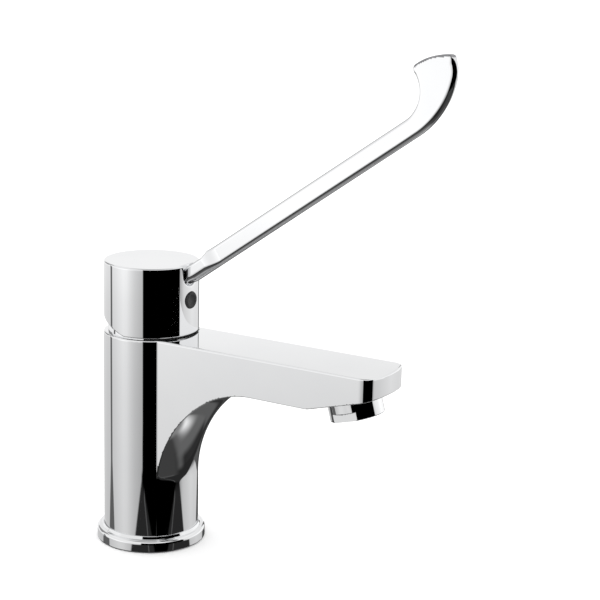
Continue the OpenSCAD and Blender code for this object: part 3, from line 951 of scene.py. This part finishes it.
@dataclass
class ElbowLever:
    """The long lever: a round-bottomed root, a flat blade and a hooked end, in its own tilted frame."""

    hinge_z: float = 114.1
    tilt_deg: float = 34.8
    tang_s: float = 16.0
    step_s: float = 20.5
    tang_h: float = 3.7
    root_half: float = 3.7
    root_h: float = 7.4
    root_end: float = 42.0
    root_overlap: float = 4.0
    taper_end: float = 50.5
    blade_half: float = 2.3
    hook_half: float = 2.5
    swell_before: float = 12.0
    swell_after: float = 14.0
    sag: float = 0.5
    sag_start: float = 28.0
    sag_end: float = 34.0
    blade_s: float = 46.2
    blade_h0: float = 8.8
    blade_h1: float = 8.5
    hook_s: float = 169.2
    hook_outer_r: float = 40.0
    hook_outer_deg: float = 45.0
    tip_r: float = 10.0
    tip_deg: float = 103.0
    hook_lag: float = 1.6
    hook_inner_r: float = 14.5
    hook_inner_deg: float = 90.0
    corner_r: float = 2.8
    end_r: float = 27.0
    end_edge_r: float = 0.8
    end_fade: tuple[float, float] = (0.4, 4.0)
    far_inside: float = -20.0
    # How far the painted shade reaches in from the hook's end edge.
    end_shade_depth: float = 1.0
    tip_soft: float = 0.7
    upper_edge_r: float = 1.0
    blade_edge_r: float = 1.4
    least_flat: float = 0.02
    voxel: float = 0.5

    @staticmethod
    def on_arc(centre: Array, radius: float, turn: float) -> Array:
        """Gives the point (s, h) of an arc at a heading in degrees, 0 along the lever."""
        angle = math.radians(turn)
        return centre + radius * np.array([math.sin(angle), -math.cos(angle)])

    def local(self, points: Array) -> tuple[Array, Array]:
        """Gives places along and above the lever's lower edge."""
        return in_frame(points, 0.0, self.hinge_z, self.tilt_deg)

    def centres(self) -> tuple[Array, Array, Array, Array]:
        """Works out the centres of the hook's bends.

        Returns:
            The centres of the outer bend, the tip, the inner bend and the bowed end edge.
        """
        outer = np.array([self.hook_s, self.hook_outer_r])
        tip = self.on_arc(outer, self.hook_outer_r - self.tip_r, self.hook_outer_deg)
        inner = np.array([self.hook_s - self.hook_lag, self.blade_h1 + self.hook_inner_r])
        tip_end = self.on_arc(tip, self.tip_r, self.tip_deg)
        corner_end = self.corner(inner) + np.array([0.0, self.corner_r])
        chord = tip_end - corner_end
        length = float(np.hypot(chord[0], chord[1]))
        sink = math.sqrt(self.end_r ** 2 - length ** 2 / 4.0) / length
        end = (tip_end + corner_end) / 2.0 + sink * np.array([chord[1], -chord[0]])
        return outer, tip, inner, end

    def corner(self, inner: Array) -> Array:
        """Gives the centre of the corner where the hook's inner bend ends."""
        return self.on_arc(inner, self.hook_inner_r + self.corner_r, self.hook_inner_deg)

    def top(self, along: Array) -> Array:
        """Gives the height of the lever's upper edge above its lower one."""
        stations = [0.0, self.root_end, self.blade_s, self.hook_s - self.hook_lag]
        return np.interp(along, stations, [self.root_h, self.root_h, self.blade_h0, self.blade_h1])

    def back(self, along: Array, height: Array) -> Array:
        """Distance to the lever's lower edge, which runs on round the hook's outside.

        Args:
            along: Distances along the lever.
            height: Heights above its lower edge.

        Returns:
            Signed distances.
        """
        outer, tip, _, _ = self.centres()
        heading = np.degrees(np.arctan2(along - outer[0], outer[1] - height))
        bend = np.hypot(along - outer[0], height - outer[1]) - self.hook_outer_r
        nose = np.hypot(along - tip[0], height - tip[1]) - self.tip_r
        edge = np.where(along < outer[0], -height, np.where(heading < self.hook_outer_deg, bend, nose))
        return edge - self.sag * ease(along, self.sag_start, self.sag_end)

    def end_edge(self, along: Array, height: Array) -> Array:
        """Distance to the bowed edge that ends the hook.

        Args:
            along: Distances along the lever.
            height: Heights above its lower edge.

        Returns:
            Signed distances.
        """
        _, _, inner, end = self.centres()
        edge = np.hypot(along - end[0], height - end[1]) - self.end_r
        return np.where(along > inner[0], edge, self.far_inside)

    def side_view(self, along: Array, height: Array) -> Array:
        """Distance to the lever's outline seen from the side.

        Args:
            along: Distances along the lever.
            height: Heights above its lower edge.

        Returns:
            Signed distances.
        """
        _, _, inner, _ = self.centres()
        hollow = self.hook_inner_r - np.hypot(along - inner[0], height - inner[1])
        front = np.where(along < inner[0], height - self.top(along), hollow)
        whole = round_meet(self.back(along, height), self.end_edge(along, height), self.tip_soft)
        whole = round_meet(whole, front, self.corner_r)
        tang = np.where(height > self.tang_h, self.tang_s - along, self.step_s - along)
        return np.maximum(whole, tang)

    def half_width(self, along: Array) -> Array:
        """Gives half of the lever's thickness, which tapers from the root to the blade and grows in the hook.

        Args:
            along: Distances along the lever.

        Returns:
            Half thicknesses.
        """
        share = np.clip((along - self.root_end) / (self.taper_end - self.root_end), 0.0, 1.0)
        soft = 0.5 * share + 0.5 * ease(along, self.root_end, self.taper_end)
        hooked = ease(along, self.hook_s - self.swell_before, self.hook_s + self.swell_after)
        grown = (self.hook_half - self.blade_half) * hooked
        return self.root_half + (self.blade_half - self.root_half) * soft + grown

    def distance(self, points: Array) -> Array:
        """Distance to the lever.

        Args:
            points: Places in mm, one a row.

        Returns:
            Signed distances.
        """
        along, height = self.local(points)
        half = self.half_width(along)
        lower = half - self.least_flat
        upper = np.minimum(self.upper_edge_r, lower)
        blade_part = ease(along, self.root_end, self.taper_end)
        low_side = self.back(along, height) > -0.5 * self.blade_h1
        upper = upper + (np.minimum(lower, self.blade_edge_r) - upper) * blade_part
        edge = np.where(low_side, lower, upper)
        from_end = ease(-self.end_edge(along, height), *self.end_fade)
        edge = self.end_edge_r + (edge - self.end_edge_r) * from_end
        return round_meet(self.side_view(along, height), np.abs(points[:, 1]) - half, edge)

    def painted_end_shade_band(self, points: Array) -> Array:
        """Finds the band along the edge that ends the hook, which gets a dull grey finish as painted shade.
        """
        along, height = self.local(points)
        return self.end_edge(along, height) > -self.end_shade_depth

    def tang(self) -> Outline:
        """Gives the side view's points round the stepped tang."""
        return [(self.tang_s, self.root_h), (self.tang_s, self.tang_h), (self.step_s, self.tang_h)]

    def blade(self) -> Shape:
        """Makes the blank of the blade and the hook, upright: its side view extruded.

        Returns:
            A closed shape in mm.
        """
        outer, tip, inner, end = self.centres()
        tip_end = self.on_arc(tip, self.tip_r, self.tip_deg)
        corner = self.corner(inner)
        side = [(self.step_s, 0.0), (self.root_end, 0.0)]
        side += arc(tuple(outer), self.hook_outer_r, -90.0, self.hook_outer_deg - 90.0, 16)
        side += arc(tuple(tip), self.tip_r, self.hook_outer_deg - 80.0, self.tip_deg - 90.0, 8)
        side += [((tip_end[0] + corner[0]) / 2.0, end[1] + self.end_r)]
        side += [(corner[0], corner[1] + self.corner_r)]
        side += arc(tuple(inner), self.hook_inner_r, self.hook_inner_deg - 90.0, -90.0, 16)
        side += [(self.blade_s, self.blade_h0), (self.root_end, self.root_h)]
        return plate(side + self.tang(), self.blade_half)

    def root(self) -> Shape:
        """Makes the blank of the thicker root, upright.

        Returns:
            A closed shape in mm.
        """
        end = self.root_end + self.root_overlap
        return plate([(self.step_s, 0.0), (end, 0.0), (end, self.root_h)] + self.tang(), self.root_half)

    def build(self) -> None:
        """Builds and dresses the lever."""
        hinge = (0.0, 0.0, self.hinge_z)
        blade, root = [placed(bm, -self.tilt_deg, "Y", hinge) for bm in (self.blade(), self.root())]
        made = FilletedForm("lever", self.distance, self.voxel).make(blade, [(Step.ADD, root)])
        finish_piece(made, Body.HANDLE, CHROME, "lever_arm")
        # Painted shade: a band along the hook's end edge gets a dull grey finish.
        PAINTED_END_SHADE.dress_some(made, self.painted_end_shade_band)


@dataclass
class Aerator:
    """The chromed aerator under the spout's nose, with two spanner flats."""

    x: float = 111.8
    z: float = 90.07
    tilt_deg: float = 15.36
    outer_r: float = 12.5
    length: float = 8.6
    thread_r: float = 10.4
    thread_low: float = -1.0
    thread_up: float = 5.5
    bore_r: float = 8.9
    flat_half: float = 11.0
    flat_h: float = 3.9
    flat_edge_r: float = 0.05
    edge_r: float = 0.5
    voxel: float = 0.45

    def distance(self, points: Array) -> Array:
        """Distance to the aerator's housing.

        Args:
            points: Places in mm, one a row.

        Returns:
            Signed distances.
        """
        ahead, up = in_frame(points, self.x, self.z, self.tilt_deg)
        aside = points[:, 1]
        radius = np.hypot(ahead, aside)
        drum = round_meet(radius - self.outer_r, -self.length - up, self.edge_r)
        drum = np.maximum(drum, up)
        flats = np.maximum(self.flat_half - np.abs(aside), up + self.length - self.flat_h)
        drum = round_meet(drum, -flats, self.flat_edge_r)
        thread = np.maximum(radius - self.thread_r, np.maximum(up - self.thread_up, self.thread_low - up))
        return np.maximum(np.minimum(drum, thread), self.bore_r - radius)

    def build(self) -> None:
        """Builds and dresses the housing."""
        shapes = [cylinder(self.outer_r, -self.length, 0.0),
                  cylinder(self.thread_r, self.thread_low, self.thread_up),
                  cylinder(self.bore_r, -self.length - SPARE, self.thread_up + SPARE)]
        drum, thread, bore = [placed(bm, -self.tilt_deg, "Y", (self.x, 0.0, self.z)) for bm in shapes]
        form = FilletedForm("aerator", self.distance, self.voxel)
        made = form.make(drum, [(Step.ADD, thread), (Step.CUT, bore)])
        finish_piece(made, Body.TAP, CHROME, "aerator_housing")


@dataclass(frozen=True)
class InnerWorks:
    """The pieces whose CAD shape is right as it is, and the finish of each."""

    finishes: tuple[tuple[Finish, tuple[str, ...]], ...] = (
        (CHROME, ("cover_ring",)),
        (RUBBER, ("base_seal", "manifold_seals", "port_seals", "disc_gasket", "housing_seal",
                  "aerator_gasket")),
        (BRASS, ("inlet_manifold", "clamp_nut")),
        (STEEL, ("manifold_clip", "aerator_screen", "pivot_pin", "spindle", "lever_pin", "set_screw")),
        (WHITE_PLASTIC, ("cartridge_base", "cartridge_housing", "aerator_insert")),
        (GREY_PLASTIC, ("spindle_guide", "disc_carrier")),
        (LAPPED_DISC, ("fixed_disc", "moving_disc")),
    )

    def dress(self) -> None:
        """Gives each kept CAD node its finish."""
        for finish, names in self.finishes:
            for name in names:
                finish.dress(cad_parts[name])
                LOG.info("%s: %s", name, finish.name)


@dataclass(frozen=True)
class Panel:
    """A card of the studio, as it is seen from the tap: a field of directions with soft edges."""

    name: str
    azimuth: float
    half: float
    low: float
    high: float
    light: float
    soft: float = 4.0
    soft_height: float = 3.0
    spread: float = 0.0
    spread_from: float = -17.0


@dataclass(frozen=True)
class CardLight:
    """The shader nodes that give the studio's cards their light."""

    tree: Tree

    def maths(self, kind: str, *values: Socket | float) -> Socket:
        """Adds an arithmetic node.

        Args:
            kind: The operation's name.
            *values: Sockets or plain numbers.

        Returns:
            The result's socket.
        """
        node = self.tree.nodes.new("ShaderNodeMath")
        node.operation = kind
        for k, value in enumerate(values):
            if isinstance(value, Socket):
                self.tree.links.new(value, node.inputs[k])
            else:
                node.inputs[k].default_value = value
        return node.outputs[0]

    def step(self, value: Socket, start: float, end: float) -> Socket:
        """Adds a smooth step from 0 to 1.

        Args:
            value: What is mapped.
            start: Where the step begins.
            end: Where it ends.

        Returns:
            The step's socket.
        """
        limits = {"From Min": start, "From Max": end}
        node = add_node(self.tree, "ShaderNodeMapRange", {"Value": value}, limits)
        node.interpolation_type = "SMOOTHSTEP"
        return node.outputs["Result"]

    def curve(self, value: Socket, stops: Stops, span: float) -> Socket:
        """Adds a lookup of brightness by angle.

        Args:
            value: The angle in degrees.
            stops: Angles and brightnesses, in order.
            span: The largest angle.

        Returns:
            The brightness's socket.
        """
        share = self.maths("MULTIPLY_ADD", value, 0.5 / span, 0.5)
        ramp = add_node(self.tree, "ShaderNodeValToRGB", {"Fac": share}, {})
        parts = ramp.color_ramp.elements
        while len(parts) < len(stops):
            parts.new(0.5)
        for part, (angle, light) in zip(parts, stops):
            part.position = 0.5 + 0.5 * angle / span
            part.color = (light, light, light, 1.0)
        return ramp.outputs["Color"]

    def hang(self, panel: Panel, turn: Socket, height: Socket, light: Socket) -> Socket:
        """Lays one card over the light so far.

        Args:
            panel: The card.
            turn: Azimuth in degrees.
            height: Elevation in degrees.
            light: The light before the card.

        Returns:
            The light with the card.
        """
        off = self.maths("WRAP", self.maths("SUBTRACT", turn, panel.azimuth), 180.0, -180.0)
        off = self.maths("ABSOLUTE", off)
        depth = self.maths("MAXIMUM", self.maths("SUBTRACT", panel.spread_from, height), 0.0)
        off = self.maths("SUBTRACT", off, self.maths("MULTIPLY", depth, panel.spread))
        across = self.step(off, panel.half + panel.soft / 2.0, panel.half - panel.soft / 2.0)
        above = self.step(height, panel.low - panel.soft_height, panel.low)
        below = self.step(height, panel.high, panel.high - panel.soft_height)
        share = self.maths("MULTIPLY", across, self.maths("MULTIPLY", above, below))
        gain = self.maths("MULTIPLY", share, self.maths("SUBTRACT", panel.light, light))
        gain.node.label = panel.name
        return self.maths("ADD", light, gain)


@dataclass
class Studio:
    """Plain soft studio: a pale floor, a white surround, cards that only polished metal sees, and the camera.

    Places and radii are in metres here. The sky gives the cards' light by elevation, the ring by azimuth.
    """

    eye: Triple = (0.4444, -0.6120, 0.3020)
    forward: Triple = (-0.4949, 0.8368, -0.2340)
    roll_deg: float = 1.38
    lens: float = 97.08
    sensor: float = 36.0
    clip_end: float = 50.0
    surround: float = 1.4
    floor_r: float = 6.0
    floor_colour: Triple = (0.98, 0.98, 0.98)
    dome_r: float = 4.0
    ring_top: float = 12.0
    sky: Stops = (
        (-90.0, 0.18), (-52.0, 0.18), (-44.0, 0.032), (-26.6, 0.032), (-23.2, 0.70), (-20.0, 0.76),
        (-16.0, 0.81), (-12.0, 0.93), (-8.0, 1.2), (0.0, 1.2), (10.0, 0.97), (12.8, 0.96), (15.7, 1.0),
        (17.6, 0.9), (26.0, 0.88), (50.0, 0.96), (62.0, 0.85), (72.0, 0.36), (90.0, 0.34),
    )
    ring: Stops = (
        (-180.0, 0.79), (-155.0, 0.83), (-140.0, 0.92), (-126.0, 1.0), (-116.0, 0.97), (-105.0, 0.83),
        (-95.0, 0.71), (-76.0, 0.56), (20.0, 0.5), (29.0, 0.77), (43.0, 0.86), (59.0, 0.96), (79.0, 0.9),
        (125.0, 0.9), (180.0, 0.79),
    )
    panels: tuple[Panel, ...] = (
        Panel("foot_shade", -30.0, 45.4, -30.0, -17.0, 0.022, 4.0, 1.0, 7.0, -19.0),
        Panel("arch_shade", -16.0, 30.0, -75.0, -25.0, 0.052, 20.0, 0.8),
        Panel("arch_line", -20.0, 24.0, -26.2, -25.4, 0.085, 6.0, 0.4),
        Panel("foot_line", -33.0, 38.8, -25.0, -19.5, 0.1, 1.5, 0.4, -5.65, -20.1),
        Panel("foot_shade_inner", -33.0, 36.9, -25.0, -19.5, 0.022, 1.5, 0.4, -5.65, -20.1),
        Panel("foot_core", -33.0, 44.5, -23.6, -18.8, 0.0, 4.0, 0.4, -10.0, -19.2),
        Panel("black_flag", -29.2, 46.1, -19.2, 30.0, 0.0, 2.4, 0.8),
        Panel("arch_card_left", 24.0, 8.0, -90.0, -27.0, 0.1, 16.0, 5.0),
        Panel("arch_card", 74.0, 55.0, -90.0, -35.0, 0.135, 24.0, 8.0),
        Panel("arch_glow", 66.0, 22.0, -64.0, -49.0, 1.05, 44.0, 15.0),
        Panel("lever_shade", -100.0, 25.0, -48.0, -30.0, 0.06, 6.0, 5.0),
        Panel("lever_under", 106.0, 14.0, -78.0, -30.0, 0.11, 8.0, 6.0),
        Panel("left_line", -167.0, 3.5, -40.0, 6.0, 0.12, 2.5, 3.0, 2.6, -18.6),
        Panel("right_line", 102.0, 4.0, -26.0, 24.0, 0.1, 2.5, 2.0, 3.2, -18.6),
        Panel("foot_edge", 114.0, 14.0, -26.0, -18.6, 0.05, 3.0, 1.5),
        Panel("upper_line", 166.0, 15.0, 8.0, 42.0, 0.3, 3.0, 4.0),
        Panel("under_shade", 0.0, 200.0, -90.0, -60.0, 0.25, 4.0, 6.0),
    )

    def build(self) -> None:
        """Builds the floor, the surround, the cards and the camera."""
        self.build_floor()
        self.build_surround()
        self.build_dome()
        self.build_camera()
        bpy.context.scene.view_settings.view_transform = "Standard"

    def build_floor(self) -> None:
        """Lays a pale floor, which the chrome doesn't mirror."""
        bm = bmesh.new()
        bmesh.ops.create_circle(bm, cap_ends=True, segments=96, radius=self.floor_r / MM)
        floor = as_object("floor", bm)
        paint = bpy.data.materials.new("pale_floor")
        paint.use_nodes = True
        shader = paint.node_tree.nodes["Principled BSDF"]
        shader.inputs["Base Color"].default_value = (*self.floor_colour, 1.0)
        shader.inputs["Roughness"].default_value = 0.9
        shader.inputs["Specular IOR Level"].default_value = 0.1
        floor.data.materials.append(paint)
        floor.visible_glossy = False

    def build_surround(self) -> None:
        """Lights everything evenly from a white world."""
        world = bpy.data.worlds.new("white_surround")
        world.use_nodes = True
        back = world.node_tree.nodes["Background"]
        back.inputs["Color"].default_value = (1.0, 1.0, 1.0, 1.0)
        back.inputs["Strength"].default_value = self.surround
        bpy.context.scene.world = world

    def card_light(self, tree: Tree) -> Socket:
        """Works out the cards' light from the direction.

        Args:
            tree: The nodes of the cards' material.

        Returns:
            The light's socket.
        """
        cards = CardLight(tree)
        spot = tree.nodes.new("ShaderNodeTexCoord")
        x, y, z = add_node(tree, "ShaderNodeSeparateXYZ", {"Vector": spot.outputs["Object"]}, {}).outputs
        turn = cards.maths("DEGREES", cards.maths("ARCTAN2", y, x))
        square = cards.maths("ADD", cards.maths("MULTIPLY", x, x), cards.maths("MULTIPLY", y, y))
        height = cards.maths("DEGREES", cards.maths("ARCTAN2", z, cards.maths("SQRT", square)))
        ring = cards.maths("SUBTRACT", cards.curve(turn, self.ring, 180.0), 1.0)
        low = cards.step(height, self.ring_top, 0.0)
        ring = cards.maths("ADD", 1.0, cards.maths("MULTIPLY", low, ring))
        light = cards.maths("MULTIPLY", cards.curve(height, self.sky, 90.0), ring)
        for panel in self.panels:
            light = cards.hang(panel, turn, height, light)
        return light

    def build_dome(self) -> None:
        """Hangs the cards round the tap on one dome that only mirrored light reaches."""
        bm = bmesh.new()
        bmesh.ops.create_icosphere(bm, subdivisions=5, radius=self.dome_r / MM)
        bmesh.ops.reverse_faces(bm, faces=bm.faces)
        dome = as_object("studio_cards", bm)
        paint = bpy.data.materials.new("card_light")
        paint.use_nodes = True
        tree = paint.node_tree
        tree.nodes.clear()
        glow = add_node(tree, "ShaderNodeEmission", {"Color": self.card_light(tree)}, {})
        add_node(tree, "ShaderNodeOutputMaterial", {"Surface": glow.outputs["Emission"]}, {})
        dome.data.materials.append(paint)
        dome.visible_camera = False
        dome.visible_diffuse = False
        dome.visible_shadow = False
        dome.visible_transmission = False

    def build_camera(self) -> None:
        """Sets the camera at the photograph's place."""
        level = Vector(self.forward).to_track_quat("-Z", "Y").to_matrix().to_4x4()
        roll = Matrix.Rotation(math.radians(self.roll_deg), 4, "Z")
        lens = bpy.data.cameras.new("camera")
        lens.lens = self.lens
        lens.sensor_width = self.sensor
        lens.clip_end = self.clip_end
        camera = bpy.data.objects.new("camera", lens)
        camera.matrix_world = Matrix.Translation(self.eye) @ level @ roll
        bpy.context.scene.collection.objects.link(camera)
        bpy.context.scene.camera = camera


def main() -> None:
    """Builds the tap's visible pieces, dresses its works and sets the studio."""
    logging.basicConfig(level=logging.INFO, format="%(name)s %(message)s")
    Studio().build()
    Casting().build()
    BaseRing().build()
    Cap().build()
    ElbowLever().build()
    Aerator().build()
    InnerWorks().dress()


if __name__ == "__main__":
    main()
